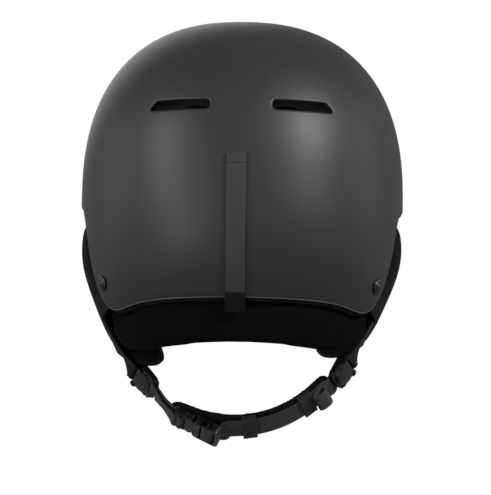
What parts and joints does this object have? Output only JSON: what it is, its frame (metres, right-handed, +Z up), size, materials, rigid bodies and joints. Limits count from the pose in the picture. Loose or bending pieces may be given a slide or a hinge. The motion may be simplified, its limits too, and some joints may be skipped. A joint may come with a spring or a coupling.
{
  "type": "ski helmet",
  "caption": "Hard-shell snow helmet with foam liner, soft ear pads, neck roll, goggle-strap retainer and a padded chin strap with a side-release buckle.",
  "frame": {"origin": "middle of the crown pad's inner face, where the top of the wearer's head is seated", "axes": "+Z up, +Y towards the wearer's front, +X towards the wearer's right"},
  "size_m": [0.2256, 0.2783, 0.2954],
  "materials": {
    "shell_matte": "matte black painted polycarbonate",
    "foam": "expanded polystyrene beads, black",
    "fleece": "brushed fleece, almost black",
    "roll_twill": "fine twill over soft foam",
    "webbing": "ribbed polyester webbing",
    "elastic": "ribbed elastic",
    "hardware": "satin moulded acetal, black",
    "rivet": "black lacquered steel",
    "trim_strip": "rough moulded edge strip",
    "retainer": "soft matte rubber strap"
  },
  "bodies": {
    "helmet": {"shell": "shell_matte", "eps_liner": "foam", "crown_pad": "fleece", "brow_pad": "fleece", "rear_pad": "fleece", "side_pad_right": "fleece", "side_pad_left": "fleece", "roll_carrier": "trim_strip", "neck_roll": "roll_twill", "ear_pad_left": "fleece", "ear_pad_right": "fleece", "strap_front_left": "webbing", "strap_front_right": "webbing", "strap_rear_left": "webbing", "strap_rear_right": "webbing", "divider_body_left": "hardware", "divider_body_right": "hardware", "rivet_rear_left": "rivet", "rivet_rear_right": "rivet", "rivet_front_left": "rivet", "rivet_front_right": "rivet", "retainer_anchor": "retainer"},
    "goggle_retainer": {"retainer_strap": "retainer", "retainer_tab": "hardware"},
    "lever_left": {"divider_lever_left": "hardware"},
    "lever_right": {"divider_lever_right": "hardware"},
    "chin_strap": {"chin_webbing": "webbing", "chin_webbing_left": "webbing", "chin_pad": "fleece", "keeper_centre": "elastic", "keeper_right": "elastic", "strap_tail_loop": "webbing", "buckle_female": "hardware"},
    "buckle_insert": {"buckle_male": "hardware"},
    "prong_back": {"buckle_prong_back": "hardware"},
    "prong_front": {"buckle_prong_front": "hardware"}
  },
  "joints": [
    {"name": "goggle_retainer_lift", "type": "hinge", "parent": "helmet", "child": "goggle_retainer", "pos_m": [-0.0024, -0.1425, -0.081], "axis": [-1, 0, 0], "range_deg": [0, 75]},
    {"name": "lever_left_open", "type": "hinge", "parent": "helmet", "child": "lever_left", "pos_m": [-0.07253, -0.00305, -0.21362], "axis": [-0.3462, 0.7794, -0.5223], "range_deg": [0, 90]},
    {"name": "lever_right_open", "type": "hinge", "parent": "helmet", "child": "lever_right", "pos_m": [0.07635, -0.00102, -0.20492], "axis": [-0.4182, -0.8053, 0.4202], "range_deg": [0, 90]},
    {"name": "chin_strap_swing", "type": "hinge", "parent": "helmet", "child": "chin_strap", "pos_m": [-0.0551, -0.00575, -0.22921], "axis": [0.9988, 0.0165, 0.0452], "range_deg": [-20, 30]},
    {"name": "buckle_release", "type": "slide", "parent": "chin_strap", "child": "buckle_insert", "axis": [-0.898, 0.106, 0.427], "range_m": [0, 0.014], "deforming": ["chin_webbing_left"]},
    {"name": "prong_back_flex", "type": "hinge", "parent": "buckle_insert", "child": "prong_back", "pos_m": [-0.03272, -0.01606, -0.24371], "axis": [0.4281, 0.4351, 0.7921], "range_deg": [0, 14]},
    {"name": "prong_front_flex", "type": "hinge", "parent": "buckle_insert", "child": "prong_front", "pos_m": [-0.03385, -0.00605, -0.24859], "axis": [-0.4281, -0.4351, -0.7921], "range_deg": [0, 14]}
  ],
  "couplings": [
    {"joint": "prong_back_flex", "follows": "buckle_release", "rad_per_m": 17.4},
    {"joint": "prong_front_flex", "follows": "buckle_release", "rad_per_m": 17.4}
  ]
}
